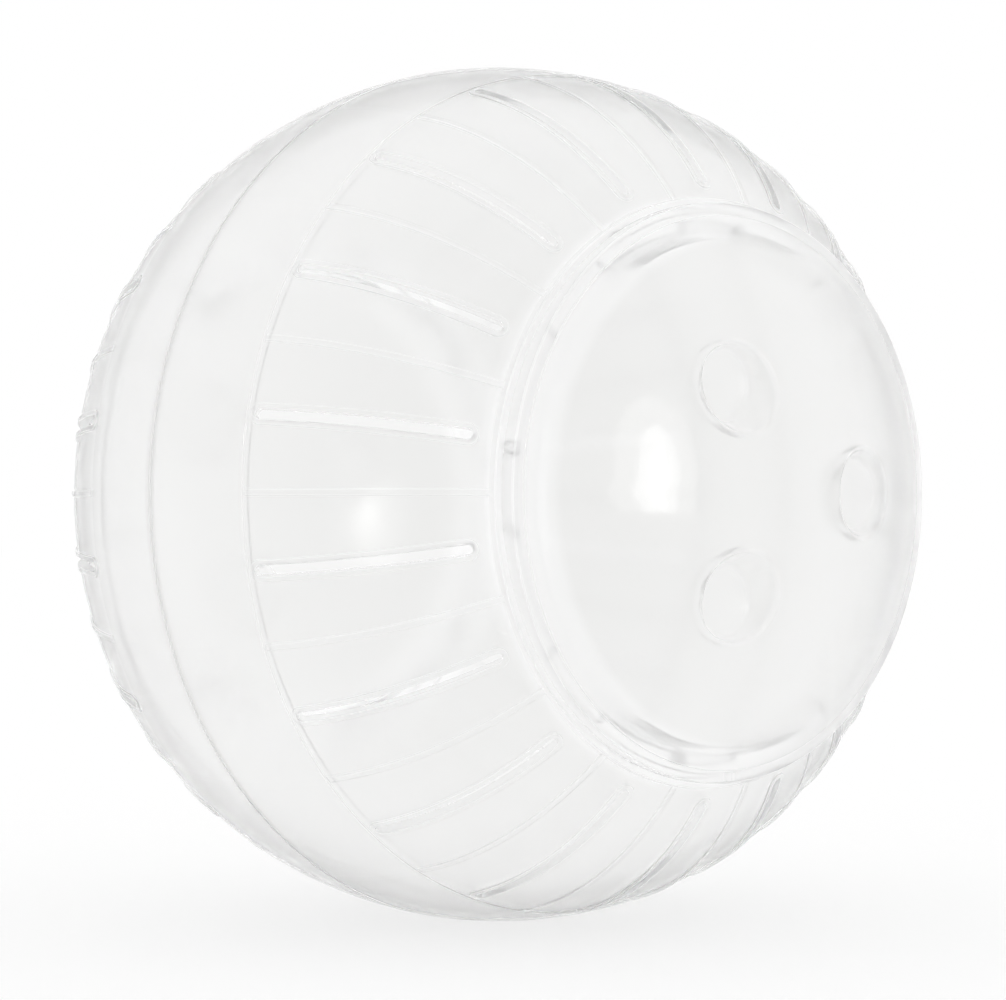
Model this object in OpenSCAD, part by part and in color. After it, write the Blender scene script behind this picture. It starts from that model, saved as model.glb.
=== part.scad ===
// A clear exercise ball for a small pet, in millimetres, +Z up.
// Two half shells meet at the middle, and each has a round mouth closed by a twist-lock lid.
// The origin is the centre of the ball. The ball's own axis lies along Y, and the front lid faces -Y.
// Each piece is drawn with that axis upright and the seam at height 0, then laid down.

/* [Ball] */
// Outer diameter across the smooth middle band
ball_d = 180; // [170:1:190]
// Thickness of a shell's wall
wall = 2; // [1.7:0.1:2.4]
// Width of the smooth band on one half, from the seam to the slotted shoulder
band_w = 25; // [20:0.5:30]
// How far the band stands out from the slotted shoulder
band_step = 0.4; // [0.2:0.1:0.8]

/* [Seam] */
// Gap that shows between the two halves
seam_gap = 0.3; // [0.1:0.05:0.5]
// How far the tongue of one half reaches into the other
tongue_l = 2; // [1:0.5:4]
// Clearance round the tongue
tongue_clear = 0.25; // [0.2:0.05:0.4]

/* [Shoulder and collar] */
// Radius of the shoulder's curve, seen from the side
shoulder_r = 60; // [57:1:70]
// Outer diameter of the collar round the mouth
collar_d = 116.4; // [115.4:0.2:120]
// Distance from the seam to the foot of the collar
collar_foot = 63.5; // [60:0.5:66]
// Height of the collar above its foot
collar_h = 1.9; // [1.2:0.1:2.4]
// Thickness of the flange inside the collar
flange_t = 2; // [1.5:0.1:2.5]
// Diameter of the mouth
mouth_d = 103.2; // [101:0.2:104]

/* [Slots and ribs] */
// Number of slots round one half, with a rib between each two
slot_count = 18; // [12:1:20]
// Width of a slot
slot_w = 2; // [1.5:0.1:3]
// Width of the raised lip round a slot
lip_w = 1.1; // [0.8:0.1:1.6]
// Height of the lip above the shoulder
lip_h = 0.4; // [0.2:0.1:1.4]
// Space between the band and the nearer end of a slot's lip
slot_start = 0.5; // [0.2:0.1:4]
// Space between the other end of the lip and the collar
slot_end = 2.2; // [1:0.1:6]
// Width of a rib
rib_w = 1.3; // [0.8:0.1:2]
// Height of a rib above the shoulder
rib_h = 0.4; // [0.2:0.1:1.2]

/* [Lid] */
// Outer diameter of the lid's rim
lid_d = 114; // [112:0.5:115]
// Height of the rim's edge
rim_h = 3.2; // [2.6:0.1:4]
// Width of the rim's flat border
rim_w = 2.6; // [2:0.1:3]
// Thickness of the lid's wall
lid_wall = 1.8; // [1.5:0.1:2.2]
// Radius of the lid's dome
dome_r = 96; // [85:1:120]
// Height of the dome's edge above the collar
dome_edge_h = 4.2; // [3.8:0.1:5]
// Thickness of the skirt that stands in the mouth
skirt_t = 1.5; // [1.2:0.1:2]
// Running clearance between the lid and the shell
lid_clear = 0.3; // [0.2:0.05:0.5]
// Length of the raised mark on the rim
mark_l = 2.2; // [1:0.1:2.4]
// Width of the mark
mark_w = 2.4; // [1:0.1:4]
// Height of the mark
mark_h = 0.5; // [0.3:0.1:0.8]

/* [Twist lock] */
// Number of lugs on the skirt
lug_count = 4; // [3:1:5]
// Width of a lug, in degrees
lug_turn = 16; // [10:1:18]
// How far a lug stands out from the skirt
lug_reach = 2.3; // [1.5:0.1:2.6]
// Thickness of a lug
lug_t = 1.8; // [1.2:0.1:2.4]
// Width of the notch that lets a lug through the flange, in degrees
notch_turn = 20; // [18:1:22]
// Width of the stop that a locked lug rests against
stop_w = 1.6; // [1:0.1:2.4]

/* [Finger cups] */
// Number of finger cups in a lid
cup_count = 3; // [2:1:4]
// Diameter of the circle that the cups stand on
cup_circle_d = 48; // [44:1:54]
// Diameter of a cup's mouth
cup_d = 18; // [15:0.5:19]
// Diameter of a cup's floor
cup_floor_d = 14; // [12:0.5:16]
// Depth of a cup below the dome at its middle
cup_depth = 4.5; // [4:0.5:10]
// Thickness of a cup's wall and floor
cup_wall = 1.5; // [1.2:0.1:2]

/* [Hidden] */
$fn = 180;
CLEAR_TINT = [0.93, 0.93, 0.92, 0.45];
full_turn = 360;
// How far a cut runs past what it cuts
overrun = 1;

// The half shell's section
ball_r = ball_d / 2;
collar_r = collar_d / 2;
mouth_r = mouth_d / 2;
shoulder_start = [sqrt(pow(ball_r, 2) - pow(band_w, 2)) - band_step, band_w];
shoulder_end = [collar_r, collar_foot];
shoulder_chord = norm(shoulder_end - shoulder_start);
shoulder_tilt = atan2(shoulder_end[1] - shoulder_start[1], shoulder_start[0] - shoulder_end[0]);
shoulder_mid = (shoulder_start + shoulder_end) / 2;
shoulder_drop = sqrt(pow(shoulder_r, 2) - pow(shoulder_chord / 2, 2));
shoulder_centre = shoulder_mid - shoulder_drop * [sin(shoulder_tilt), cos(shoulder_tilt)];
collar_top = collar_foot + collar_h;
flange_foot = collar_top - flange_t;

// The seam: the tongue and the lip outside it share the wall's thickness, less the clearance
tongue_t = (wall - tongue_clear) / 2;
half_gap = seam_gap / 2;

// The slots, measured along the shoulder's chord and across it
slot_pitch = full_turn / slot_count;
lip_outer_w = slot_w + 2 * lip_w;
lip_first = slot_start + lip_outer_w / 2;
lip_last = shoulder_chord - slot_end - lip_outer_w / 2;
shoulder_bulge = shoulder_r - shoulder_drop;
cut_top = shoulder_bulge + lip_h + overrun;
cut_foot = 2 * wall;

// The lid's section
lid_r = lid_d / 2;
lid_seat = collar_top + lid_clear;
rim_top = lid_seat + rim_h;
dome_edge_r = lid_r - rim_w;
dome_centre = collar_top + dome_edge_h - sqrt(pow(dome_r, 2) - pow(dome_edge_r, 2));
skirt_r = mouth_r - lid_clear;
lug_top = flange_foot - lid_clear;
skirt_foot = lug_top - lug_t;
lug_r = skirt_r + lug_reach;
lug_pitch = full_turn / lug_count;
notch_r = lug_r + lid_clear;
notch_middle = lug_pitch / 2;
stop_middle = -lug_turn / 2 - atan2(lid_clear + stop_w / 2, lug_r);

// The rear lid stands with its lugs in the notches, two notches on from the first
rear_lid_turn = notch_middle + 2 * lug_pitch;

// The finger cups
cup_pitch = full_turn / cup_count;
cup_at = cup_circle_d / 2;
cup_top = dome_centre + sqrt(pow(dome_r, 2) - pow(cup_at, 2));
cup_floor = cup_top - cup_depth;
cup_flare_share = (cup_d - cup_floor_d) / 2 / cup_depth;

// A disc of the section, centred on a point of it
module section_disc(centre, radius) {
  translate(centre)
  circle(r = radius);
}

// The part of a curved wall between two radii about one centre
module section_wall(centre, outer, inner) {
  difference() {
    section_disc(centre, outer);
    section_disc(centre, inner);
  }
}

// The shoulder's wall, raised by some height, from the band to the collar
module shoulder_section(raised, deep) {
  reach = shoulder_r + raised;
  intersection() {
    section_wall(shoulder_centre, reach, shoulder_r - deep);
    translate([collar_r - wall, band_w - band_step])
    square([ball_r, collar_top - band_w + band_step]);
  }
}

// A section turned round the upright axis, which starts and ends clear of the details on it
module turned(start_turn) {
  rotate([0, 0, start_turn])
  rotate_extrude()
  children();
}

// The raised skin that lips and ribs are cut from, clear of the collar's outer wall
module raised_skin(raised) {
  turned(slot_pitch / 4)
  intersection() {
    shoulder_section(raised, wall / 2);
    translate([collar_r - wall / 2, band_w - band_step / 2])
    square([ball_r, collar_foot - band_w + band_step / 2]);
  }
}

// The smooth band's wall
module band_section() {
  intersection() {
    section_wall([0, 0], ball_r, ball_r - wall);
    translate([0, half_gap])
    square([ball_r, band_w - half_gap]);
  }
}

// The tongue that stands out of the seam, on the inside of the wall
module tongue_section() {
  translate([ball_r - wall, -tongue_l])
  square([tongue_t, tongue_l + 2 * half_gap + overrun]);
}

// The rebate that takes the other half's tongue
module rebate_section() {
  translate([0, -overrun])
  square([ball_r - wall + tongue_t + tongue_clear, overrun + tongue_l + 2 * half_gap]);
}

// The collar with its flange, which the lid sits on
module collar_section() {
  translate([mouth_r, flange_foot])
  square([collar_r - mouth_r, flange_t]);
  translate([collar_r - wall, flange_foot])
  square([wall, flange_t]);
}

// A bar with round ends, that runs along the shoulder's chord and stands square to it
module shoulder_bar(width, first, last) {
  translate([shoulder_start[0], 0, shoulder_start[1]])
  rotate([0, shoulder_tilt, 0])
  translate([0, 0, -cut_foot])
  linear_extrude(cut_foot + cut_top)
  union() {
    translate([-last, -width / 2])
    square([last - first, width]);
    translate([-first, 0])
    circle(d = width);
    translate([-last, 0])
    circle(d = width);
  }
}

// Copies of a child, turned evenly about the upright axis
module around(count, first_turn) {
  for (i = [0 : count - 1])
    rotate([0, 0, first_turn + i * full_turn / count])
    children();
}

// A wedge of the space round the upright axis, between two heights and two radii
module ring_piece(inner, outer, foot, top, middle, turn) {
  rotate([0, 0, middle - turn / 2])
  rotate_extrude(angle = turn)
  translate([inner, foot])
  square([outer - inner, top - foot]);
}

// The raised lips round the slots, before the slots are cut
module slot_lips() {
  intersection() {
    raised_skin(lip_h);
    around(slot_count, slot_pitch / 2)
    shoulder_bar(lip_outer_w, lip_first, lip_last);
  }
}

// The narrow ribs between the slots
module ribs() {
  intersection() {
    raised_skin(rib_h);
    around(slot_count, 0)
    shoulder_bar(rib_w, 0, shoulder_chord);
  }
}

// The stops under the flange, one beside each locked lug
module lug_stops() {
  for (i = [0 : lug_count - 1])
    rotate([0, 0, stop_middle + i * lug_pitch])
    translate([mouth_r, -stop_w / 2, skirt_foot])
    cube([lug_reach, stop_w, flange_foot - skirt_foot + flange_t / 2]);
}

// Half of the ball, with its mouth upward; the front half has the tongue and the rear one the rebate
module half_shell(has_tongue) {
  difference() {
    union() {
      turned(slot_pitch / 4)
      difference() {
        union() {
          band_section();
          shoulder_section(0, wall);
          collar_section();
          if (has_tongue) tongue_section();
        }
        if (!has_tongue) rebate_section();
      }
      slot_lips();
      ribs();
      lug_stops();
    }
    around(slot_count, slot_pitch / 2)
    shoulder_bar(slot_w, lip_first, lip_last);
    for (i = [0 : lug_count - 1])
      ring_piece(mouth_r - overrun, notch_r, flange_foot - overrun, collar_top + overrun,
        notch_middle + i * lug_pitch, notch_turn);
  }
}

// The lid's turned section: dome, rim, border and skirt
module lid_section() {
  intersection() {
    section_wall([0, dome_centre], dome_r, dome_r - lid_wall);
    translate([0, collar_top])
    square([lid_r, dome_r]);
  }
  translate([lid_r - lid_wall, lid_seat])
  square([lid_wall, rim_h]);
  translate([dome_edge_r - lid_wall, rim_top - lid_wall])
  square([rim_w + lid_wall, lid_wall]);
  intersection() {
    section_disc([0, dome_centre], dome_r - lid_wall / 2);
    translate([skirt_r - skirt_t, skirt_foot])
    square([skirt_t, dome_r]);
  }
}

// A cone that widens upward as the finger cups do, from a level below the cup's floor
module cup_cone(below_floor, beside_wall, height) {
  radius = cup_floor_d / 2 + beside_wall - below_floor * cup_flare_share;
  translate([cup_at, 0, cup_floor - below_floor])
  cylinder(r1 = radius, r2 = radius + height * cup_flare_share, h = height);
}

// The lid, with its dome upward
module lid() {
  difference() {
    union() {
      turned(lug_pitch / 4)
      lid_section();
      intersection() {
        translate([0, 0, dome_centre])
        sphere(r = dome_r - lid_wall / 2);
        around(cup_count, 0)
        cup_cone(cup_wall, cup_wall, 2 * cup_depth);
      }
      for (i = [0 : lug_count - 1])
        ring_piece(skirt_r - skirt_t / 2, lug_r, skirt_foot, lug_top, i * lug_pitch, lug_turn);
      rotate([0, 0, -full_turn / 4])
      translate([lid_r - mark_l, -mark_w / 2, rim_top - mark_h])
      cube([mark_l - mark_h, mark_w, 2 * mark_h]);
    }
    around(cup_count, 0)
    cup_cone(0, 0, 2 * cup_depth);
  }
}

// Front half of the ball, with the tongue at the seam
module front_shell() {
  color(CLEAR_TINT)
  rotate([90, 0, 0])
  half_shell(true);
}

// Rear half of the ball, the same half turned round, with the rebate at the seam
module rear_shell() {
  color(CLEAR_TINT)
  rotate([-90, 0, 0])
  half_shell(false);
}

// Lid in the front half, locked
module front_lid() {
  color(CLEAR_TINT)
  rotate([90, 0, 0])
  lid();
}

// Lid in the rear half, turned so that its lugs stand in the notches and it lifts straight off
module rear_lid() {
  color(CLEAR_TINT)
  rotate([-90, 0, 0])
  rotate([0, 0, rear_lid_turn])
  lid();
}

front_shell();
rear_shell();
front_lid();
rear_lid();
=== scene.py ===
"""A clear moulded exercise ball for a small pet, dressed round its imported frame.

The ball's centre is the origin and its own axis lies along Y. Each moulding is worked out with that axis
upright, in millimetres, and is laid down into the frame, in metres, when its mesh is made.
"""

import logging
import math
from dataclasses import dataclass
from enum import Enum

import bpy
import numpy as np
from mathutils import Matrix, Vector


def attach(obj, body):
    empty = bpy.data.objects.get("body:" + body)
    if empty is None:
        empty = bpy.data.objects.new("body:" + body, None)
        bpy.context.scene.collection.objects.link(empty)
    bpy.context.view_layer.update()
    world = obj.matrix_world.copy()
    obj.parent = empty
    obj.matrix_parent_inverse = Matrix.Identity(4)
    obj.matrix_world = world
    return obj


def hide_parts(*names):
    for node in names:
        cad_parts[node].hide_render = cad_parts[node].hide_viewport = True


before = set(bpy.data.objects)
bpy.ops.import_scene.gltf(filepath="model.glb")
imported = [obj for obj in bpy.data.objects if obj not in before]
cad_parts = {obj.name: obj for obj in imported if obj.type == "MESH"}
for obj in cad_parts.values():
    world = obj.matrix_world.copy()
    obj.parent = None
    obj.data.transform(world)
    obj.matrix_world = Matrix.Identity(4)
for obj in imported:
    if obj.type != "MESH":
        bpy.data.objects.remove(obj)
Array = np.ndarray
Size = Array | float
Socket = bpy.types.NodeSocket
MM = 0.001
WELD_CELL = 1e-4
BEND = "bend"
log = logging.getLogger("exercise_ball")


class Side(Enum):
    """Which half of the ball a moulding belongs to, and how it is laid down."""

    FRONT = "front"
    REAR = "rear"

    def lay_down(self, points: Array) -> Array:
        """Turns upright points so that their axis lies along Y, outward for this side.

        Args:
            points: Upright points, in millimetres, with the axis along Z.

        Returns:
            The points in the frame, in metres: (x, -z, y) on the front side, (x, z, -y) on the rear one.
        """
        x, y, z = points[:, 0], points[:, 1], points[:, 2]
        laid = (x, -z, y) if self is Side.FRONT else (x, z, -y)
        return np.stack(laid, axis=-1) * MM


class SeamEdge(Enum):
    """How a half shell meets the other one."""

    TONGUE = "tongue"
    REBATE = "rebate"


def lerp(first: Array, last: Array, share: Array) -> Array:
    """A point between two, by its share of the way: first plus share times the difference."""
    return first + (last - first) * share


def curved(start: Array, corner: Array, end: Array, s: Array) -> Array:
    """A curve that rounds a corner: (1 - s)^2 start + 2 s (1 - s) corner + s^2 end, with s from 0 to 1."""
    return (1 - s) ** 2 * start + 2 * s * (1 - s) * corner + s**2 * end


def rounded(corners: Array, reach: Array, steps: int) -> Array:
    """Rounds the corners of an open line.

    Each corner is `curved` from the point `reach` before it to the point `reach` after it. A corner with no
    reach stays one point, and so do the two ends.

    Args:
        corners: The line's points, n by 2.
        reach: How far the rounding reaches along the line from each inner corner, n - 2 values.
        steps: Segments in each rounded corner.

    Returns:
        The rounded line's points.
    """
    inner = corners[1:-1]
    back = corners[:-2] - inner
    ahead = corners[2:] - inner
    back = back / np.linalg.norm(back, axis=1, keepdims=True)
    ahead = ahead / np.linalg.norm(ahead, axis=1, keepdims=True)
    start = inner + back * reach[:, None]
    end = inner + ahead * reach[:, None]
    s = np.linspace(0, 1, steps + 1)[None, :, None]
    curve = curved(start[:, None], inner[:, None], end[:, None], s)
    line = np.concatenate([corners[:1], curve.reshape(-1, 2), corners[-1:]])
    fresh = np.linalg.norm(np.diff(line, axis=0), axis=1) > 1e-9
    return line[np.concatenate([[True], fresh])]


def turned(section: Array, angles: Array) -> Array:
    """Turns a section round the upright axis: (radius cos angle, radius sin angle, height).

    Args:
        section: Radius and height of each row, rows by 2, or rows by columns by 2.
        angles: Angle of each column in radians, or rows by columns of them.

    Returns:
        Points, rows by columns by 3.
    """
    section = section[:, None] if section.ndim == 2 else section
    radius, height = section[..., 0], section[..., 1]
    angle = np.broadcast_to(angles, np.broadcast_shapes(angles.shape, radius.shape))
    return np.stack([radius * np.cos(angle), radius * np.sin(angle), height + 0 * angle], axis=-1)


def copies_round(points: Array, count: int, first: float = 0.0) -> Array:
    """Repeats a block evenly round the upright axis by turning x and y through each copy's angle.

    Args:
        points: One block, of any shape with 3 last.
        count: Number of copies.
        first: Angle of the first copy, in radians.

    Returns:
        The copies, count by the block's shape.
    """
    turn = first + 2 * np.pi * np.arange(count) / count
    turn = turn.reshape((count,) + (1,) * (points.ndim - 1))
    x, y = points[..., 0], points[..., 1]
    across = x * np.cos(turn) - y * np.sin(turn)
    along = x * np.sin(turn) + y * np.cos(turn)
    return np.stack([across, along, np.broadcast_to(points[..., 2], across.shape)], axis=-1)


def nearest(angles: Array, middles: Array) -> Array:
    """Distance in degrees from each angle to the nearest of the middles."""
    return np.abs((angles[:, None] - middles + 180) % 360 - 180).min(axis=1)


def closed(columns: Array) -> Array:
    """The same columns with the first one again at the end, a full turn on."""
    return np.concatenate([columns, columns[:1] + 2 * np.pi])


def loose_edges(faces: tuple[Array, ...], count: int) -> int:
    """Counts the edges that don't have exactly one face on each side.

    A face's edge from point a to b has the number a times count + b, and its neighbour's runs from b to a.

    Args:
        faces: Four-sided faces and triangles, as point numbers.
        count: Number of points.

    Returns:
        How many edges lack their other side, or have a face too many.
    """
    start = np.concatenate([f.ravel() for f in faces])
    end = np.concatenate([np.roll(f, -1, axis=1).ravel() for f in faces])
    one_way, other_way = start * count + end, end * count + start
    return np.setxor1d(one_way, other_way).size + one_way.size - np.unique(one_way).size


def shading(points: Array, faces: tuple[Array, ...]) -> tuple[Array, Array, float]:
    """Works out a closed surface's normals, bend and volume.

    A face's area vector is the cross product of its diagonals, which for a triangle are two of its sides. A
    point's normal is the sum of its faces' area vectors, so large faces stay flat beside the small ones of a
    rounded edge. Its bend is 1 - |sum| / (sum of the lengths), so 0 on a flat face. The volume is a sixth of
    the sum of each face's first point times its area vector.

    Args:
        points: The points, in metres.
        faces: Four-sided faces and triangles, as point numbers.

    Returns:
        A normal for each point, a bend for each point, and the volume in cubic metres.
    """
    total, lengths, volume = np.zeros_like(points), np.zeros(len(points)), 0.0
    for face in faces:
        first, second, third, last = (points[face[:, corner]] for corner in (0, 1, 2, -1))
        area = np.cross(third - first, last - second)
        np.add.at(total, face.ravel(), np.repeat(area, face.shape[1], axis=0))
        np.add.at(lengths, face.ravel(), np.repeat(np.linalg.norm(area, axis=1), face.shape[1]))
        volume += float((first * area).sum()) / 6
    length = np.linalg.norm(total, axis=1)
    return total / np.maximum(length, 1e-30)[:, None], 1 - length / np.maximum(lengths, 1e-30), volume


class Moulding:
    """Blocks of one closed surface, gathered as grids of points and welded into a mesh."""

    def __init__(self) -> None:
        """Starts with no blocks."""
        self.points: list[Array] = []
        self.quads: list[Array] = []
        self.tris: list[Array] = []
        self.count = 0

    def _take(self, points: Array) -> Array:
        """Adds points and returns their numbers, in the same layout."""
        flat = points.reshape(-1, 3)
        index = self.count + np.arange(len(flat)).reshape(points.shape[:-1])
        self.points.append(flat)
        self.count += len(flat)
        return index

    def grid(self, points: Array, inside_out: bool = False) -> None:
        """Adds a grid of four-sided faces, whose fronts follow rows crossed with columns.

        Args:
            points: Rows by columns by 3, or copies of that.
            inside_out: Turns the faces round.
        """
        i = self._take(points)
        quads = np.stack([i[..., :-1, :-1], i[..., 1:, :-1], i[..., 1:, 1:], i[..., :-1, 1:]], axis=-1)
        quads = quads.reshape(-1, 4)
        self.quads.append(quads[:, ::-1] if inside_out else quads)

    def zipped(self, one: Array, other: Array, inside_out: bool = False) -> None:
        """Joins two rings with different columns by a strip of triangles.

        All columns of both rings are sorted by angle. Each one closes a triangle with the column before it on
        its own ring and the last column passed on the other ring.

        Args:
            one: Points of the first ring, in order of angle.
            other: Points of the second ring, in order of angle.
            inside_out: Turns the faces round.
        """
        a, b = self._take(one), self._take(other)
        angle = np.concatenate([np.arctan2(p[:, 1], p[:, 0]) % (2 * np.pi) for p in (one, other)])
        order = np.argsort(angle, kind="stable")
        own, index = order < len(a), np.concatenate([a, b])[order]
        ring_a, ring_b = index[own], index[~own]
        seen_a, seen_b = np.cumsum(own), np.cumsum(~own)
        last_a, last_b = ring_a[(seen_a - 1) % len(a)], ring_b[(seen_b - 1) % len(b)]
        on_a = np.stack([ring_a[(seen_a - 2) % len(a)], last_b, last_a], axis=-1)[own]
        on_b = np.stack([ring_b[(seen_b - 2) % len(b)], last_b, last_a], axis=-1)[~own]
        tris = np.concatenate([on_a, on_b])
        self.tris.append(tris[:, ::-1] if inside_out else tris)

    def ring(self, plain: Array, changes: list[tuple[Array, Array, float]], count: int, ease: float,
             inside_out: bool = False) -> Array:
        """Adds a full turn of a section that changes inside some windows.

        A window's value is (half + ease - distance) / (2 ease), kept between 0 and 1, where distance is the
        angle to the nearest middle. The section is the plain one, plus each value times the changed section
        less the plain one. Two close columns at each window's edge replace the even ones beside it.

        Args:
            plain: Radius and height of each row outside the windows.
            changes: For each kind of window its section, its middles and half its width, in degrees.
            count: Number of even columns.
            ease: Half the width of a window's edge, in degrees.
            inside_out: Turns the faces round.

        Returns:
            The points, rows by columns by 3, once round.
        """
        edges = [middles + way * half for _, middles, half in changes for way in (-1, 1)]
        edges = np.concatenate(edges) % 360
        even = 360 * np.arange(count) / count
        kept = even[nearest(even, edges) > 2.2 * ease]
        degrees = np.unique(np.round(np.concatenate([kept, (edges - ease) % 360, (edges + ease) % 360]), 6))
        section = plain[:, None]
        for changed, middles, half in changes:
            inside = np.clip((half + ease - nearest(degrees, middles)) / (2 * ease), 0, 1)[:, None]
            section = section + inside * (changed - plain)[:, None]
        points = turned(np.concatenate([section, section[:, :1]], axis=1), closed(np.radians(degrees)))
        self.grid(points, inside_out)
        return points[:, :-1]

    def welded(self) -> tuple[Array, Array, Array]:
        """Merges points that fall in one small cell, and makes each pinched face a triangle.

        Returns:
            Points, four-sided faces and triangles.
        """
        points = np.concatenate(self.points)
        cells = np.round(points / WELD_CELL).astype(np.int64)
        _, first, same = np.unique(cells, axis=0, return_index=True, return_inverse=True)
        points, same = points[first], same.ravel()
        quads = same[np.concatenate(self.quads)]
        tris = [same[np.concatenate(self.tris)]] if self.tris else []
        pinched = quads == np.roll(quads, -1, axis=1)
        for corner in range(4):
            rows = quads[pinched[:, corner] & (pinched.sum(axis=1) == 1)]
            tris.append(np.delete(rows, corner, axis=1))
        quads = quads[~pinched.any(axis=1)]
        triangles = np.concatenate(tris)
        open_face = triangles == np.roll(triangles, -1, axis=1)
        return points, quads, triangles[~open_face.any(axis=1)]

    def mesh(self, name: str, side: Side) -> bpy.types.Object:
        """Makes the object, laid down on its side of the ball, with area-weighted normals and its bend.

        Args:
            name: The object's name.
            side: The half that the moulding belongs to.

        Returns:
            The linked object.
        """
        points, quads, tris = self.welded()
        points = side.lay_down(points)
        loops = np.concatenate([quads.ravel(), tris.ravel()]).astype(np.int32)
        sizes = np.concatenate([np.full(len(quads), 4), np.full(len(tris), 3)]).astype(np.int32)
        data = bpy.data.meshes.new(name)
        data.vertices.add(len(points))
        data.vertices.foreach_set("co", points.ravel().astype(np.float32))
        data.loops.add(len(loops))
        data.loops.foreach_set("vertex_index", loops)
        data.polygons.add(len(sizes))
        data.polygons.foreach_set("loop_start", (np.cumsum(sizes) - sizes).astype(np.int32))
        data.update(calc_edges=True)
        data.validate()
        data.polygons.foreach_set("use_smooth", np.ones(len(sizes), bool))
        normals, bend, volume = shading(points, (quads, tris))
        data.normals_split_custom_set_from_vertices(normals.tolist())
        data.attributes.new(BEND, "FLOAT", "POINT").data.foreach_set("value", bend.astype(np.float32))
        piece = bpy.data.objects.new(name, data)
        bpy.context.scene.collection.objects.link(piece)
        log.info("%s: %d points, %d triangles, %.0f mm3, %d loose edges", name, len(points),
                 2 * len(quads) + len(tris), volume / MM**3, loose_edges((quads, tris), len(points)))
        return piece


class NodeTree:
    """One material's or world's nodes, with a short call that adds a node and fills its inputs."""

    def __init__(self, owner: bpy.types.Material | bpy.types.World) -> None:
        """Empties the tree.

        Args:
            owner: The material or world.
        """
        owner.use_nodes = True
        self.nodes, self.links = owner.node_tree.nodes, owner.node_tree.links
        self.nodes.clear()

    def add(self, kind: str, inputs: dict, output: str = "",
            **settings: object) -> Socket | None:
        """Adds a node. An input that is given another node's socket is linked, and others are plain values.

        Args:
            kind: The node's type, without ShaderNode.
            inputs: Values by the inputs' names or numbers.
            output: The output that is handed back, or nothing for the tree's last node.
            settings: The node's own settings.

        Returns:
            The named output.
        """
        node = self.nodes.new(f"ShaderNode{kind}")
        for name, value in settings.items():
            setattr(node, name, value)
        for name, value in inputs.items():
            if isinstance(value, Socket):
                self.links.new(value, node.inputs[name])
            else:
                node.inputs[name].default_value = value
        return node.outputs[output] if output else None

    def ramp(self, value: Socket, span: tuple[float, float], low: object, high: object) -> Socket:
        """Maps a value in a span evenly to one from low to high, and keeps it between them."""
        first, last = span
        return self.add("MapRange", {"Value": value, "From Min": first, "From Max": last, "To Min": low,
                                     "To Max": high}, "Result")


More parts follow.
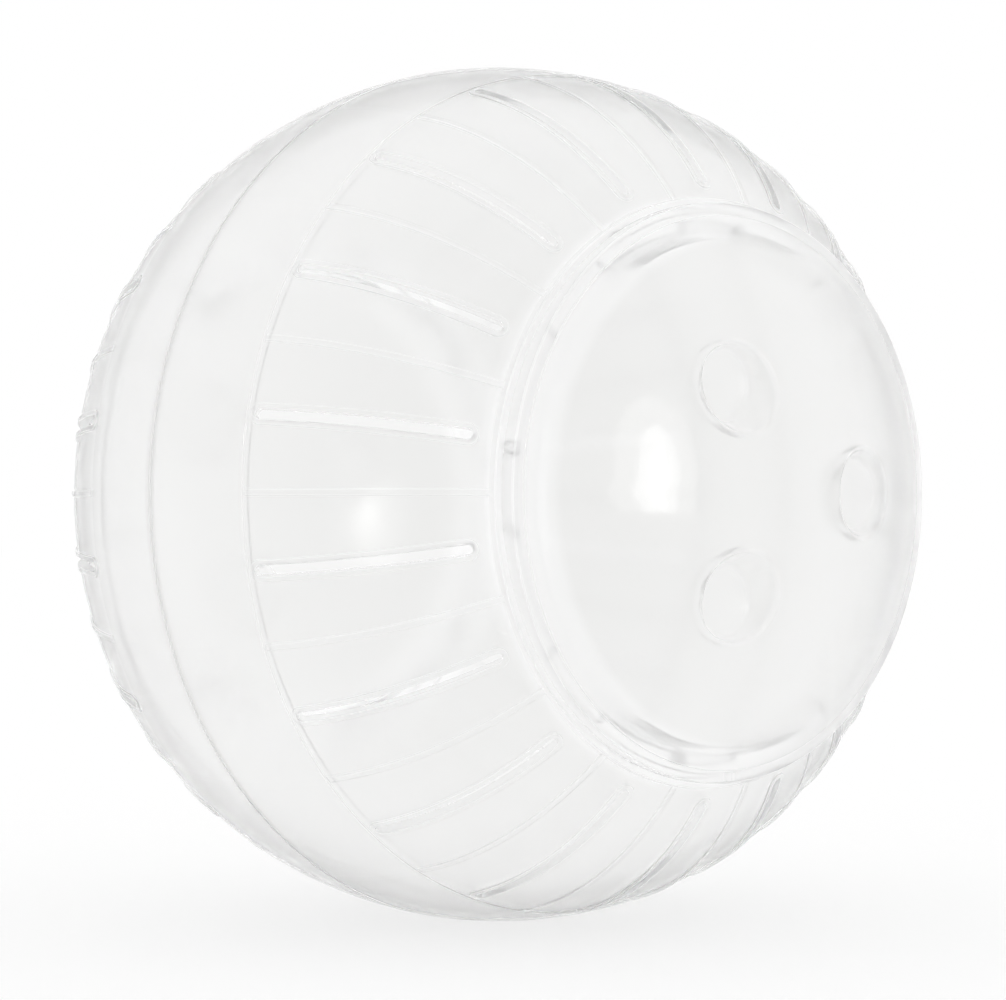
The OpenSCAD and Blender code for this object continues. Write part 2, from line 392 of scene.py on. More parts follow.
@dataclass(frozen=True)
class ClearPlastic:
    """Clear moulded plastic with a faint cast, slight waves from the mould and light scuffs.

    Its walls are thin, so the index is low and they bend what is seen through them only a little. The haze
    blurs what lies far behind a wall, and at grazing angles a share of the view goes straight through. The
    coat has the gloss of the real plastic. Light is painted into the base colour: walls seen at grazing
    angles are painted whiter as a painted reflection, bent edges white as painted highlights, and the ring
    round each mouth whiter as painted light over its shade. Bent edges are also less clear.
    """

    name: str = "clear_plastic"
    tint: tuple[float, float, float] = (0.925, 0.925, 0.92)
    deep_tint: tuple[float, float, float] = (0.915, 0.915, 0.91)
    grazing_body: float = 0.6
    painted_grazing_light_facing: float = 1.4
    ior: float = 1.045
    gloss_ior: float = 1.5
    edge_bend: tuple[float, float] = (0.003, 0.03)
    edge_clear: float = 0.7
    haze: float = 0.38
    scuffed_haze: float = 0.42
    scuffs: tuple[float, float] = (0.52, 0.8)
    scuff_scale: tuple[float, float, float] = (900.0, 120.0, 900.0)
    painted_light_ring_inner: tuple[float, float] = (0.0485, 0.05)
    painted_light_ring_outer: tuple[float, float] = (0.0583, 0.059)
    wave_scale: float = 28.0
    wave_strength: float = 0.5
    wave_depth: float = 0.00002

    def make(self) -> bpy.types.Material:
        """Builds the material from noise on Object coordinates.

        Returns:
            The material. Slow noise moves the tint and waves the surface, and stretched fine noise scuffs it.
        """
        material = bpy.data.materials.new(self.name)
        tree = NodeTree(material)
        place = tree.add("TexCoord", {}, "Object")
        flow = tree.add("TexNoise", {"Vector": place, "Scale": self.wave_scale, "Detail": 2.0}, "Fac")
        wave = tree.add("Bump", {"Height": flow, "Strength": self.wave_strength, "Distance": self.wave_depth},
                        "Normal")
        grain = tree.add("Mapping", {"Vector": place, "Scale": self.scuff_scale}, "Vector")
        scuff = tree.add("TexNoise", {"Vector": grain, "Scale": 1.0, "Detail": 3.0}, "Fac")
        bend = tree.add("Attribute", {}, "Fac", attribute_name=BEND)
        facing = tree.add("LayerWeight", {}, "Facing")
        cast = tree.add("Mix", {"Factor": flow, "A": (*self.tint, 1.0), "B": (*self.deep_tint, 1.0)},
                        "Result", data_type="RGBA")
        # Painted light: the base colour is whitened in the ring 50 to 58.3 mm from the axis, over the collar,
        # flange and lid rim, to lift the shade there.
        across = tree.add("VectorMath", {0: place, 1: (1.0, 0.0, 1.0)}, "Vector", operation="MULTIPLY")
        radius = tree.add("VectorMath", {0: across}, "Value", operation="LENGTH")
        ring = tree.ramp(radius, self.painted_light_ring_outer, tree.ramp(radius, self.painted_light_ring_inner, 0.0, 1.0), 0.0)
        # Painted reflection: the base colour turns whiter as the wall turns away from the camera.
        painted_grazing_light = tree.ramp(facing, (0.0, self.painted_grazing_light_facing), ring, 1.0)
        # Painted highlight: bent edges get a white base colour.
        pale = tree.ramp(bend, self.edge_bend, painted_grazing_light, 1.0)
        # The tint is mixed towards white by the painted light of the ring, the grazing walls and the bent
        # edges.
        base_with_painted_light = tree.add("Mix", {"Factor": pale, "A": cast, "B": (1.0, 1.0, 1.0, 1.0)}, "Result",
                          data_type="RGBA")
        body = tree.ramp(facing, (0.0, 1.0), 1.0, self.grazing_body)
        surface = tree.add("BsdfPrincipled", {
            "Base Color": base_with_painted_light, "Normal": wave, "IOR": self.ior,
            "Roughness": tree.ramp(scuff, self.scuffs, self.haze, self.scuffed_haze),
            "Transmission Weight": tree.ramp(bend, self.edge_bend, 1.0, self.edge_clear),
            "Alpha": tree.ramp(bend, self.edge_bend, body, 1.0),
            "Coat Weight": 1.0, "Coat IOR": self.gloss_ior}, "BSDF")
        tree.add("OutputMaterial", {"Surface": surface})
        return material


@dataclass
class HalfShell:
    """One half of the ball: smooth band, slotted shoulder with lips and ribs, and collar round the mouth.

    Sizes are in millimetres. The shoulder is worked out by chord: `along` runs on the straight line from the
    band to the collar's foot, and `height` is measured out from the shoulder's curve. At the radii `join_top`
    and `join_under` the collar's rings end and the mouth's begin.
    """

    side: Side
    seam: SeamEdge
    ball_r: float = 90.0
    wall: float = 2.0
    band_w: float = 25.0
    band_step: float = 0.4
    half_gap: float = 0.15
    tongue_l: float = 2.0
    tongue_clear: float = 0.25
    shoulder_r: float = 60.0
    collar_r: float = 58.2
    collar_foot: float = 63.5
    collar_h: float = 1.9
    flange_t: float = 2.0
    mouth_r: float = 51.6
    slot_count: int = 18
    slot_w: float = 2.0
    lip_w: float = 1.1
    lip_h: float = 0.4
    slot_start: float = 0.5
    slot_end: float = 2.2
    rib_w: float = 1.3
    rib_h: float = 0.4
    rib_rise: float = 0.9
    lug_count: int = 4
    notch_r: float = 53.9
    notch_turn: float = 20.0
    notch_middle: float = 45.0
    stop_foot: float = 61.3
    stop_w: float = 1.6
    stop_middle: float = -9.18
    stop_r: float = 52.7
    join_top: tuple[float, float] = (56.6, 55.6)
    join_under: tuple[float, float] = (55.4, 54.6)
    edge_r: float = 0.25
    mid_steps: int = 24
    end_steps: int = 5
    across_steps: int = 6
    panel_steps: int = 4
    ring_steps: int = 200
    ring_ease: float = 0.16

    def __post_init__(self) -> None:
        """Works out the shoulder's chord and its curve's centre."""
        self.first = np.array([math.sqrt(self.ball_r**2 - self.band_w**2) - self.band_step, self.band_w])
        self.last = np.array([self.collar_r, self.collar_foot])
        self.chord = float(np.linalg.norm(self.last - self.first))
        self.way = (self.last - self.first) / self.chord
        self.out = np.array([self.way[1], -self.way[0]])
        drop = math.sqrt(self.shoulder_r**2 - (self.chord / 2) ** 2)
        self.centre = (self.first + self.last) / 2 - drop * self.out
        self.collar_top = self.collar_foot + self.collar_h
        self.flange_foot = self.collar_top - self.flange_t
        self.pitch = 2 * math.pi / self.slot_count
        lip_outer = self.slot_w / 2 + self.lip_w
        self.core_first = self.slot_start + lip_outer
        self.core_last = self.chord - self.slot_end - lip_outer
        self.panel_first = 0.2
        self.panel_last = self.chord - 1.0
        self.rib_foot = self.rib_w / 2 + 0.2

    def shoulder(self, along: Size, height: Size) -> Array:
        """A point of the shoulder's section.

        With reach = curve radius + height, the point lies sqrt(reach^2 - (along - chord / 2)^2) out from the
        curve's centre, square to the chord, and (along - chord / 2) on from it.

        Args:
            along: Distance along the chord from the band.
            height: Height above the shoulder's outer face.

        Returns:
            Radius and height over the seam, with 2 last.
        """
        on = np.asarray(along - self.chord / 2)[..., None]
        reach = np.asarray(self.shoulder_r + height)[..., None]
        return self.centre + np.sqrt(reach**2 - on**2) * self.out + on * self.way

    def on_shoulder(self, along: Array, angle: Array, height: Array) -> Array:
        """Points of the shoulder in space: its section turned through an angle round the axis."""
        return turned(self.shoulder(along, height), angle)

    def side_angle(self, along: Size, height: float) -> Array:
        """Half a panel's width as an angle: half the pitch less the rib's foot, arcsin(foot / radius)."""
        return self.pitch / 2 - np.arcsin(self.rib_foot / self.shoulder(along, height)[..., 0])

    def slot_rays(self) -> tuple[Array, Array, Array]:
        """The slot's core line and the way out from it, on rays that go once round.

        The rays start at the middle of the band's end. Half of them fan a quarter turn round the first end of
        the core, step along it and fan a quarter turn round its other end. The rest mirror these.

        Returns:
            Where each ray starts along the chord, and its direction along the chord and across it.
        """
        fan = np.linspace(0, np.pi / 2, self.across_steps + self.end_steps + 1)
        middle = np.linspace(self.core_first, self.core_last, self.mid_steps + 1)[1:-1]
        first, last = np.full(fan.size, self.core_first), np.full(fan.size, self.core_last)
        start = np.concatenate([first, middle, last])
        on = np.concatenate([-np.cos(fan), 0 * middle, np.sin(fan)])
        across = np.concatenate([-np.sin(fan), 0 * middle - 1, -np.cos(fan)])
        return (np.concatenate([start, start[-2::-1]]), np.concatenate([on, on[-2::-1]]),
                np.concatenate([across, -across[-2::-1]]))

    def strip_alongs(self) -> Array:
        """Distances along the chord of the panel's side points, closer together near both ends."""
        ease = np.linspace(0, 1, self.end_steps + 1) ** 1.5
        first = self.panel_first + (self.core_first - self.panel_first) * ease
        middle = np.linspace(self.core_first, self.core_last, self.mid_steps + 1)[1:-1]
        last = self.panel_last - (self.panel_last - self.core_last) * ease[::-1]
        return np.concatenate([first, middle, last])

    def end_shares(self) -> Array:
        """Shares of a panel's half width across its ends, from the middle out, closer in the middle."""
        even = np.linspace(0, 1, self.across_steps + 1)
        return 0.75 * even + 0.25 * even**3

    def panel_rim(self, height: float) -> tuple[Array, Array]:
        """A panel's outer edge, on the same rays as the slot.

        Args:
            height: Height of the face above the shoulder's outer face.

        Returns:
            Distance along the chord and angle from the slot's middle, for each ray.
        """
        alongs, shares = self.strip_alongs(), self.end_shares()
        side = self.side_angle(alongs, height)
        first, last = np.full(shares.size - 1, alongs[0]), np.full(shares.size - 1, alongs[-1])
        on = np.concatenate([first, alongs, last])
        angle = -np.concatenate([shares[:-1] * side[0], side, shares[-2::-1] * side[-1]])
        return np.concatenate([on, on[-2::-1]]), np.concatenate([angle, -angle[-2::-1]])

    def lip_profile(self) -> Array:
        """The slot's edge from the inner face, up the slot's wall, over the lip and down to its foot.

        Returns:
            Distance from the core line and height above the shoulder's outer face, for each ring.
        """
        slot, lip, edge = self.slot_w / 2, self.slot_w / 2 + self.lip_w, self.edge_r
        corners = np.array([[slot + 2 * edge, -self.wall], [slot, -self.wall], [slot, self.lip_h],
                            [lip, self.lip_h], [lip, 0.0], [lip + edge, 0.0]])
        return rounded(corners, np.array([edge, edge, edge * 0.8, edge * 0.6]), 3)

    def rib_profile(self) -> Array:
        """The rib's distance across and height, from foot to foot, with a rounded top."""
        half = self.rib_w / 2
        corners = np.array([[self.rib_foot, 0.0], [half, 0.0], [half, self.rib_h], [0.0, self.rib_h]])
        right = rounded(corners, np.array([0.14, 0.22]), 2)
        return np.concatenate([right * [-1, 1], right[-2::-1]])

    def add_slots(self, moulding: Moulding) -> None:
        """Adds the slots with their lips, and the panels round them, outside and inside."""
        start, on, across = self.slot_rays()
        profile = self.lip_profile()
        away, height = profile[:, :1], profile[:, 1:]
        along = start + away * on
        angle = np.arcsin(away * across / self.shoulder(along, height)[..., 0])
        ring = self.on_shoulder(along, angle, height + 0 * along)
        moulding.grid(copies_round(ring, self.slot_count, self.pitch / 2), inside_out=True)
        share = np.linspace(0, 1, self.panel_steps + 1)[:, None]
        for level, row, inside_out in ((0.0, -1, True), (-self.wall, 0, False)):
            rim_along, rim_angle = self.panel_rim(level)
            panel = self.on_shoulder(lerp(along[row], rim_along, share), lerp(angle[row], rim_angle, share),
                                     level + 0 * share)
            moulding.grid(copies_round(panel, self.slot_count, self.pitch / 2), inside_out)

    def sector_columns(self, along: float, level: float) -> Array:
        """Angles of all columns of one circle of the shoulder: each rib's, then each panel end's.

        Args:
            along: Where the circle crosses the chord.
            level: Height of its face above the shoulder's outer face.

        Returns:
            Angles in radians, in order, from the first rib's foot.
        """
        shares = self.end_shares()
        side = self.side_angle(along, level)
        panel = self.pitch / 2 + side * np.concatenate([-shares[::-1], shares[1:]])
        ribs = np.arcsin(self.rib_profile()[:, 0] / self.shoulder(along, level)[0])
        one = np.concatenate([ribs, panel[1:-1]])
        return (one[None, :] + self.pitch * np.arange(self.slot_count)[:, None]).ravel()

    def add_ribs(self, moulding: Moulding) -> None:
        """Adds the ribs, and the plain strips behind them.

        A rib's height is its profile times sqrt(1 - (1 - t)^2), where t goes from 0 to 1 over the rise.
        """
        alongs = self.strip_alongs()[:, None]
        profile = self.rib_profile()
        rise = np.clip((alongs - self.panel_first) / self.rib_rise, 0, 1)
        for level, height, inside_out in ((0.0, profile[:, 1] * np.sqrt(1 - (1 - rise) ** 2), True),
                                          (-self.wall, 0 * profile[:, 1] - self.wall + 0 * rise, False)):
            angle = np.arcsin(profile[:, 0] / self.shoulder(alongs, level)[..., 0])
            strip = self.on_shoulder(alongs + 0 * height, angle, height)
            moulding.grid(copies_round(strip, self.slot_count), inside_out)

    def band_section(self) -> Array:
        """The section from the shoulder's first outer point, down the band, round the seam and up inside.

        The band is an arc of the ball, and its inner face an arc of the wall's inner radius.

        Returns:
            Radius and height of each row.
        """
        inner_r = self.ball_r - self.wall
        ledge = self.band_w - self.band_step
        rise = np.linspace(self.band_w, self.half_gap, 10)
        outer = np.stack([np.sqrt(self.ball_r**2 - rise**2), rise], axis=-1)
        tongue_t = (self.wall - self.tongue_clear) / 2
        if self.seam is SeamEdge.TONGUE:
            seam = [[inner_r + tongue_t, self.half_gap], [inner_r + tongue_t, -self.tongue_l],
                    [inner_r, -self.tongue_l], [inner_r, 0.0]]
            foot, seam_reach = 3.0, [0.12, 0.2, 0.2, 0.3]
        else:
            top = self.tongue_l + 2 * self.half_gap
            cut = inner_r + tongue_t + self.tongue_clear
            seam = [[cut, self.half_gap], [cut, top], [math.sqrt(inner_r**2 - top**2), top]]
            foot, seam_reach = 5.0, [0.15, 0.12, 0.15]
        rise = np.linspace(foot, ledge, 9)
        inner = np.stack([np.sqrt(inner_r**2 - rise**2), rise], axis=-1)
        start = self.shoulder(self.panel_first, 0.0)
        end = self.shoulder(self.panel_first, -self.wall)
        bead = self.shoulder(0.0, -self.wall)
        corners = np.concatenate([[start], [self.first], outer, seam, inner, [[bead[0], ledge]], [end]])
        reach = np.concatenate([[0.08, 0.18], np.zeros(len(outer) - 2), [0.25], seam_reach,
                                np.zeros(len(inner) - 1), [0.12], [0.08]])
        return rounded(corners, reach, 3)

    def add_band(self, moulding: Moulding) -> None:
        """Adds the band and seam, whose columns shift evenly from the outer circle's to the inner one's."""
        section = self.band_section()
        outer = closed(self.sector_columns(self.panel_first, 0.0))
        inner = closed(self.sector_columns(self.panel_first, -self.wall))
        share = np.linspace(0, 1, len(section))[:, None]
        moulding.grid(turned(section, lerp(outer, inner, share)))

    def add_collar(self, moulding: Moulding) -> tuple[Array, Array]:
        """Adds the collar's outer wall and top, which the ribs run into, and the step under the flange.

        A row's points stand h times the row's lift over the plain section, where h is the rib's height there.
        The lift falls from the foot's rows to nothing at the top of the wall.

        Returns:
            The ring on the flange's top and the ring on its underside, for the mouth to join.
        """
        one = np.concatenate([self.rib_profile()[:, 1], np.zeros(2 * self.across_steps - 1)])
        height = np.tile(one, self.slot_count)
        begin = self.shoulder(self.panel_last, 0.0)
        corners = np.array([begin, self.last, [self.collar_r, self.collar_top],
                            [self.join_top[0], self.collar_top]])
        section = rounded(corners, np.array([0.3, 0.35]), 4)
        lift = np.where(section[:, 1] < self.collar_foot + 0.5, 1 / self.out[1] * 0.63, 0.0)
        lift[0] = 0
        raised = section[:, None] + height[None, :, None] * (lift[:, None] * [0.0, 1.0])[:, None]
        raised[0] = self.shoulder(np.full(height.shape, self.panel_last), height)
        angles = self.sector_columns(self.panel_last, 0.0)
        top = turned(np.concatenate([raised, raised[:, :1]], axis=1), closed(angles))
        moulding.grid(top, inside_out=True)
        begin = self.shoulder(self.panel_last, -self.wall)
        inner_reach = self.shoulder_r - self.wall
        step_r = self.collar_r - self.wall
        bend = self.centre[1] + math.sqrt(inner_reach**2 - (step_r - self.centre[0]) ** 2)
        corners = np.array([begin, [step_r, bend], [step_r, self.flange_foot],
                            [self.join_under[0], self.flange_foot]])
        section = rounded(corners, np.array([0.25, 0.2]), 2)
        angles = self.sector_columns(self.panel_last, -self.wall)
        under = turned(section, closed(angles))
        moulding.grid(under)
        return top[-1, :-1], under[-1, :-1]

    def add_mouth(self, moulding: Moulding, top: Array, under: Array) -> None:
        """Adds the flange's inner edge with its notches and stops, and joins it to the collar's rings.

        Args:
            moulding: The surface.
            top: The ring on the flange's top.
            under: The ring on its underside.
        """
        up, low, edge, cut = self.collar_top, self.flange_foot, self.mouth_r, self.notch_r
        start, end = [self.join_top[1], up], [self.join_under[1], low]
        plain = rounded(np.array([start, [edge, up], [edge, low], [52.6, low], [cut, low], end]),
                        np.array([0.3, 0.25, 0.2, 0.2]), 3)
        notch = rounded(np.array([start, [cut, up], [cut, up - 0.9], [cut, low + 0.6], [cut, low], end]),
                        np.array([0.3, 0.2, 0.1, 0.2]), 3)
        stop = rounded(np.array([start, [edge, up], [edge, self.stop_foot], [cut, self.stop_foot],
                                 [cut, low], end]), np.array([0.3, 0.25, 0.25, 0.2]), 3)
        lugs = 360 / self.lug_count * np.arange(self.lug_count)
        notches, stops = self.notch_middle + lugs, self.stop_middle + lugs
        half_stop = math.degrees(math.asin(self.stop_w / 2 / self.stop_r))
        changes = [(notch, notches, self.notch_turn / 2), (stop, stops, half_stop)]
        ring = moulding.ring(plain, changes, self.ring_steps, self.ring_ease, inside_out=True)
        moulding.zipped(top, ring[0], inside_out=True)
        moulding.zipped(under, ring[-1])

    def build(self) -> bpy.types.Object:
        """Builds the half shell as one closed surface.

        Returns:
            The piece.
        """
        moulding = Moulding()
        self.add_slots(moulding)
        self.add_ribs(moulding)
        self.add_band(moulding)
        self.add_mouth(moulding, *self.add_collar(moulding))
        return moulding.mesh(f"{self.side.value}_half_shell", self.side)


@dataclass
class Lid:
    """A twist-lock lid: dome with three finger cups, stepped rim with a mark, and skirt with four lugs.

    Sizes are in millimetres, upright, with heights over the ball's seam plane. At the radii `join_top` and
    `join_under` the dome's faces end and the rim's begin.
    """

    side: Side
    turn: float = 0.0
    lid_r: float = 57.0
    rim_top: float = 68.9
    rim_foot: float = 65.7
    rim_w: float = 2.6
    lid_wall: float = 1.8
    dome_r: float = 96.0
    dome_centre: float = -9.5
    skirt_r: float = 51.3
    skirt_t: float = 1.5
    skirt_foot: float = 61.3
    lug_count: int = 4
    lug_turn: float = 16.0
    lug_r: float = 53.6
    lug_top: float = 63.1
    mark_l: float = 2.2
    mark_w: float = 2.4
    mark_h: float = 0.5
    mark_turn: float = -90.0
    mark_r: float = 55.6
    join_top: tuple[float, float] = (53.0, 53.8)
    join_under: tuple[float, float] = (48.0, 48.8)
    cup_count: int = 3
    cup_at: float = 24.0
    cup_d: float = 18.0
    cup_floor_d: float = 14.0
    cup_depth: float = 4.5
    cup_wall: float = 1.5
    core_r: float = 8.0
    side_steps: int = 18
    arc_steps: int = 48
    core_steps: int = 12
    ring_steps: int = 180
    ring_ease: float = 0.15

    def __post_init__(self) -> None:
        """Works out the cups' levels and flare."""
        self.cup_top = float(self.dome(self.cup_at, self.dome_r))
        self.cup_floor = self.cup_top - self.cup_depth
        self.flare = (self.cup_d - self.cup_floor_d) / 2 / self.cup_depth

    def dome(self, radius: Size, reach: float) -> Array:
        """Height of a dome face at a distance from the axis: centre + sqrt(reach^2 - radius^2)."""
        return self.dome_centre + np.sqrt(reach**2 - np.square(radius))

    def sector_rim(self, outer: float) -> Array:
        """The edge of a third of the dome round one cup, whose middle lies on +X.

        It runs from the core circle's edge out along one side, round the outer circle, back along the other
        side and round the core circle.

        Args:
            outer: Radius of the outer circle.

        Returns:
            x and y of each ray's end, with the first again at the end.
        """
        half = np.pi / self.cup_count
        out = np.linspace(self.core_r, outer, self.side_steps + 1)[:, None]
        side = np.array([[math.cos(half), -math.sin(half)]])
        turn = np.linspace(-half, half, self.arc_steps + 1)[:, None]
        arc = outer * np.concatenate([np.cos(turn), np.sin(turn)], axis=1)
        back = np.linspace(half, -half, self.core_steps + 1)[:, None]
        core = self.core_r * np.concatenate([np.cos(back), np.sin(back)], axis=1)
        return np.concatenate([out * side, arc[1:], (out * side)[-2::-1] * [1, -1], core[1:]])

    def add_dome(self, moulding: Moulding, reach: float, outer: float, wide: float, floor: float,
                 soft: float, fillet: float, inside_out: bool) -> Array:
        """Adds one face of the dome with the cups in it.

        A cup's wall is a cone: its radius at height z is its floor radius + flare times (z - floor). It meets
        the dome where both have the same height, found by three rounds of putting one into the other. The
        edges of mouth and floor are `curved`, and the dome runs from the mouth to the sector's edge.

        Args:
            moulding: The surface.
            reach: Radius of the dome face.
            outer: Radius of the circle where the face ends.
            wide: How much wider the cone is than the cup's hollow.
            floor: Height of the floor.
            soft: How far the rounding at the mouth reaches.
            fillet: How far the rounding at the floor reaches.
            inside_out: Turns the faces round.

        Returns:
            The outer circle's points, in order of angle.
        """
        rim = self.sector_rim(outer)
        away = rim - [self.cup_at, 0]
        way = away / np.linalg.norm(away, axis=1, keepdims=True)
        floor_r = self.cup_floor_d / 2 + wide + (floor - self.cup_floor) * self.flare

        def across(distance: Array) -> Array:
            """x and y at a distance from the cup's middle along each ray."""
            return np.array([self.cup_at, 0.0]) + way * distance[:, None]

        def on_dome(xy: Array) -> Array:
            """The dome face over x and y."""
            return np.concatenate([xy, self.dome(np.linalg.norm(xy, axis=-1), reach)[..., None]], axis=-1)

        def on_cone(height: Array) -> Array:
            """The cone at a height, along each ray."""
            return np.concatenate([across(floor_r + self.flare * (height - floor)), height[:, None]], axis=-1)

        mouth = np.full(len(rim), self.cup_d / 2 + wide)
        for _ in range(3):
            mouth = floor_r + self.flare * (on_dome(across(mouth))[:, 2] - floor)
        start, corner = on_dome(across(mouth + soft)), on_dome(across(mouth))
        end = on_cone(corner[:, 2] - soft)
        s = np.linspace(0, 1, 6)[:, None, None]
        lip = curved(start, corner, end, s)
        low = on_cone(np.full(len(rim), floor + fillet))
        foot = on_cone(np.full(len(rim), float(floor)))
        middle = np.array([self.cup_at, 0.0, floor])
        flat = lerp(foot, middle, np.full((1, 1), fillet / floor_r))
        curve = curved(low, foot, flat, s)
        disc = lerp(flat, middle, np.array([0.3, 0.7, 1.0])[:, None, None])
        wall = lerp(end, low, np.array([0.33, 0.67])[:, None, None])
        cup = np.concatenate([lip, wall, curve, disc])
        share = np.linspace(0, 1, 9)[:, None, None] ** 1.3
        panel = on_dome(lerp(start[:, :2], rim, share))
        for block, turn_round in ((cup, not inside_out), (panel, inside_out)):
            moulding.grid(copies_round(block, self.cup_count), turn_round)
        radius = np.linspace(0, self.core_r, 5)
        turn, shift = 2 * np.pi, np.pi / self.cup_count
        columns = np.linspace(0, turn, self.core_steps * self.cup_count + 1) + shift
        section = np.stack([radius, self.dome(radius, reach)], axis=-1)
        moulding.grid(turned(section, columns), inside_out)
        columns = np.linspace(0, turn, self.arc_steps * self.cup_count + 1)[:-1] + shift
        return turned(np.array([[outer, float(self.dome(outer, reach))]]), columns)[0]

    def add_rim(self, moulding: Moulding, top: Array, under: Array) -> None:
        """Adds the stepped rim with its mark and the skirt with its lugs, and joins both dome faces.

        Args:
            moulding: The surface.
            top: The ring on the dome's outer face.
            under: The ring on its inner face.
        """
        inner = self.dome_r - self.lid_wall
        edge_r, border = self.lid_r - self.rim_w, self.rim_top
        rim_in, skirt, back = self.lid_r - self.lid_wall, self.skirt_r, self.skirt_r - self.skirt_t

        def at(radius: float, reach: float) -> list[float]:
            """A point of a dome face at a radius."""
            return [radius, float(self.dome(radius, reach))]

        first = self.lid_r - self.mark_l
        last = self.lid_r - self.mark_h
        head = [at(self.join_top[1], self.dome_r), at(edge_r, self.dome_r), [edge_r, border]]
        flat = [[first, border], [first + 0.4, border], [last - 0.3, border], [last, border]]
        mark = [[first, border], [first, border + self.mark_h], [last, border + self.mark_h], [last, border]]
        rim = [[self.lid_r, border], [self.lid_r, self.rim_foot], [rim_in, self.rim_foot], at(rim_in, inner),
               at(53.2, inner), at(skirt, inner)]
        bare = [[skirt, 63.6], [skirt, 62.6], [skirt, self.skirt_foot]]
        lug = [[skirt, self.lug_top], [self.lug_r, self.lug_top], [self.lug_r, self.skirt_foot]]
        tail = [[back, self.skirt_foot], at(back, inner), at(self.join_under[1], inner)]
        reach = np.array([0.25, 0.15, 0.12, 0.12, 0.12, 0.08, 0.38, 0.3, 0.3, 0.2, 0.3, 0.3, 0.15,
                          0.3, 0.3, 0.3, 0.3])
        plain = rounded(np.array(head + flat + rim + bare + tail), reach, 3)
        marked = rounded(np.array(head + mark + rim + bare + tail), reach, 3)
        lugged = rounded(np.array(head + flat + rim + lug + tail), reach, 3)
        half_mark = math.degrees(self.mark_w / 2 / self.mark_r)
        lugs = 360 / self.lug_count * np.arange(self.lug_count)
        changes = [(marked, np.array([self.mark_turn]), half_mark), (lugged, lugs, self.lug_turn / 2)]
        ring = moulding.ring(plain, changes, self.ring_steps, self.ring_ease)
        moulding.zipped(ring[0], top, inside_out=True)
        moulding.zipped(ring[-1], under)

    def build(self) -> bpy.types.Object:
        """Builds the lid as one closed surface, turned to its place in the mouth.

        Returns:
            The piece.
        """
        moulding = Moulding()
        top = self.add_dome(moulding, self.dome_r, self.join_top[0], 0.0, self.cup_floor, 0.9, 0.9, False)
        under = self.add_dome(moulding, self.dome_r - self.lid_wall, self.join_under[0], self.cup_wall,
                              self.cup_floor - self.cup_wall, 0.5, 0.6, True)
        order = [np.argsort(np.arctan2(ring[:, 1], ring[:, 0]) % (2 * np.pi)) for ring in (top, under)]
        self.add_rim(moulding, top[order[0]], under[order[1]])
        turn = math.radians(self.turn)
        moulding.points = [copies_round(p, 1, turn)[0] for p in moulding.points]
        return moulding.mesh(f"{self.side.value}_cup_lid", self.side)


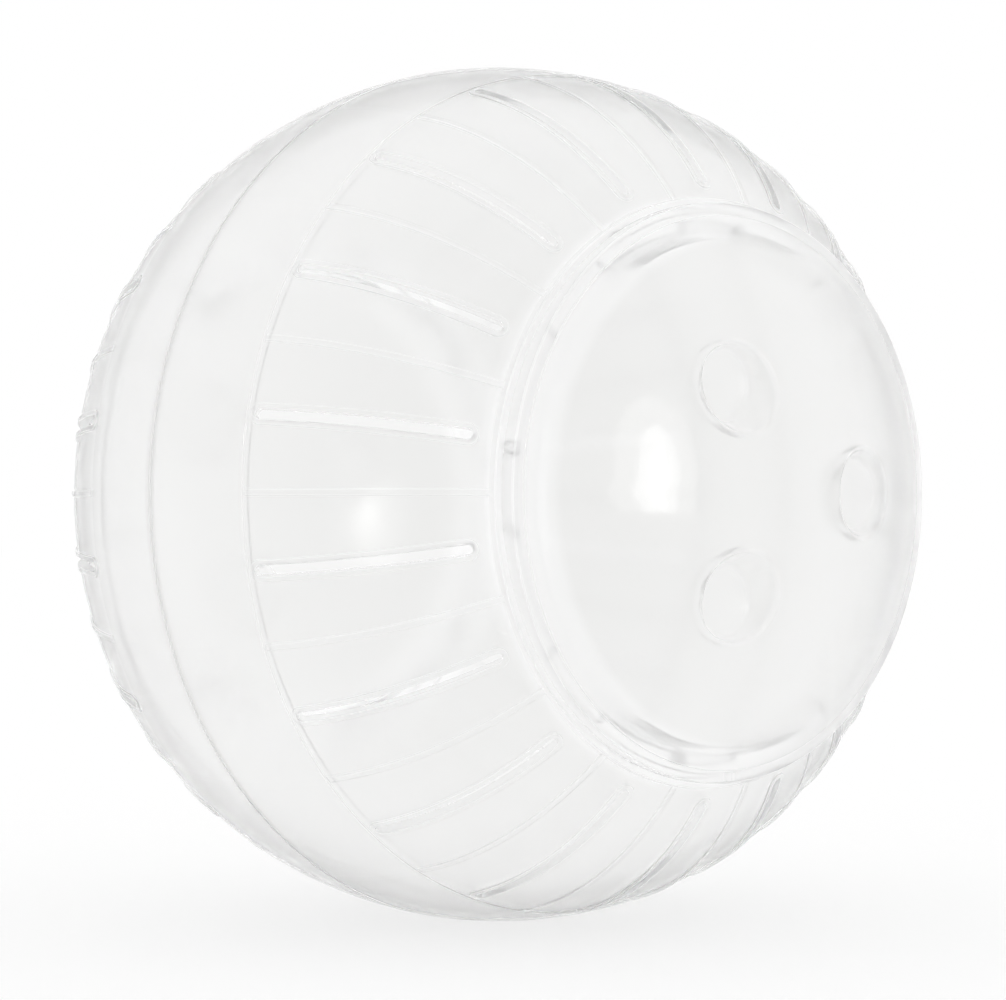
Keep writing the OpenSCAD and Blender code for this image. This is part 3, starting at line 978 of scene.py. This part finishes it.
@dataclass
class Studio:
    """A plain pale floor, a white surround, soft lamps and the camera.

    Lengths are in metres, angles in degrees. An azimuth of 0 looks along +Y.
    """

    distance: float = 0.675
    azimuth: float = -41.2
    elevation: float = -0.3
    lens: float = 113.6
    shift: tuple[float, float] = (0.0043, -0.0056)
    floor_level: float = -0.09
    floor_r: float = 6.0
    surround: float = 1.0
    floor_matt: float = 0.8
    floor_seen: float = 0.4

    def direction(self, azimuth: float, elevation: float) -> Vector:
        """The way from the ball to an azimuth and elevation: (sin a cos e, -cos a cos e, sin e)."""
        a, e = math.radians(azimuth), math.radians(elevation)
        return Vector((math.sin(a) * math.cos(e), -math.cos(a) * math.cos(e), math.sin(e)))

    def add_camera(self) -> None:
        """Adds the camera that looks at the ball's centre."""
        data = bpy.data.cameras.new("camera")
        data.lens = self.lens
        data.shift_x, data.shift_y = self.shift
        data.clip_start, data.clip_end = 0.01, 100
        camera = bpy.data.objects.new("camera", data)
        way = self.direction(self.azimuth, self.elevation)
        camera.location = way * self.distance
        camera.rotation_euler = way.to_track_quat("Z", "Y").to_euler()
        bpy.context.scene.collection.objects.link(camera)
        bpy.context.scene.camera = camera

    def add_lamp(self, name: str, azimuth: float, elevation: float, away: float, size: tuple[float, float],
                 level: float) -> None:
        """Adds a soft lamp that faces the ball.

        Args:
            name: The lamp's name.
            azimuth: Its azimuth.
            elevation: Its elevation.
            away: Its distance from the ball.
            size: Its width and height.
            level: Its brightness, where 1 is white. The power is level times area times pi.
        """
        data = bpy.data.lights.new(name, "AREA")
        data.shape = "ELLIPSE"
        data.size, data.size_y = size
        data.energy = level * math.pi * size[0] * size[1] * math.pi / 4
        lamp = bpy.data.objects.new(name, data)
        way = self.direction(azimuth, elevation)
        lamp.location = way * away
        lamp.rotation_euler = way.to_track_quat("Z", "Y").to_euler()
        bpy.context.scene.collection.objects.link(lamp)

    def add_world(self) -> None:
        """Sets the surround, which is plain white for every ray."""
        world = bpy.data.worlds.new("surround")
        bpy.context.scene.world = world
        tree = NodeTree(world)
        light = tree.add("Background", {"Color": (1, 1, 1, 1), "Strength": self.surround}, "Background")
        tree.add("OutputWorld", {"Surface": light})

    def add_floor(self) -> None:
        """Adds the floor, a disc that shows as white and keeps the ball's shadow.

        It is matt for the light that it sends back to the ball. The camera, gloss and plastic see a smaller
        matt share, which keeps the shadow, and added light up to the surround's white.
        """
        turn = np.linspace(0, 2 * np.pi, 65)[:-1]
        points = np.stack([self.floor_r * np.cos(turn), self.floor_r * np.sin(turn),
                           np.full(turn.shape, self.floor_level)], axis=-1)
        data = bpy.data.meshes.new("floor")
        data.from_pydata(points.tolist(), [], [list(range(len(points)))])
        floor = bpy.data.objects.new("floor", data)
        bpy.context.scene.collection.objects.link(floor)
        material = bpy.data.materials.new("pale_floor")
        tree = NodeTree(material)
        seen = tree.add("LightPath", {}, "Is Camera Ray")
        path = seen.node
        for kind in ("Is Glossy Ray", "Is Transmission Ray"):
            seen = tree.add("Math", {0: seen, 1: path.outputs[kind]}, "Value", operation="MAXIMUM")
        share = tree.ramp(seen, (0.0, 1.0), self.floor_matt, self.floor_seen)
        matt = tree.add("BsdfDiffuse", {"Color": share}, "BSDF")
        glow = tree.add("Math", {0: self.surround - self.floor_seen, 1: seen}, "Value", operation="MULTIPLY")
        added = tree.add("Emission", {"Color": (1, 1, 1, 1), "Strength": glow}, "Emission")
        both = tree.add("AddShader", {0: matt, 1: added}, "Shader")
        tree.add("OutputMaterial", {"Surface": both})
        data.materials.append(material)

    def build(self) -> None:
        """Builds the surround, the floor, the lamps and the camera, and sets the view transform."""
        bpy.context.scene.view_settings.view_transform = "Standard"
        self.add_world()
        self.add_floor()
        self.add_lamp("side_strip", 4.7, 3.2, 1.2, (0.07, 0.27), 2.8)
        self.add_lamp("side_glow", 4.2, 3.2, 1.25, (0.24, 0.5), 1.2)
        self.add_lamp("side_haze", 3.7, 3.2, 1.3, (0.5, 0.85), 0.6)
        self.add_camera()


def dress(piece: bpy.types.Object, node: str, plastic: bpy.types.Material) -> None:
    """Gives a piece its plastic and puts it in its CAD node's place."""
    piece.data.materials.append(plastic)
    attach(piece, node)
    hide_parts(node)


def main() -> None:
    """Builds the ball's mouldings and the studio, and puts each moulding in its CAD node's place."""
    logging.basicConfig(level=logging.INFO, format="%(name)s %(message)s")
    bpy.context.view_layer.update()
    Studio().build()
    plastic = ClearPlastic().make()
    for half in (HalfShell(Side.FRONT, SeamEdge.TONGUE), HalfShell(Side.REAR, SeamEdge.REBATE)):
        dress(half.build(), f"{half.side.value}_shell", plastic)
    for lid in (Lid(Side.FRONT), Lid(Side.REAR, turn=225.0)):
        dress(lid.build(), f"{lid.side.value}_lid", plastic)


if __name__ == "__main__":
    main()
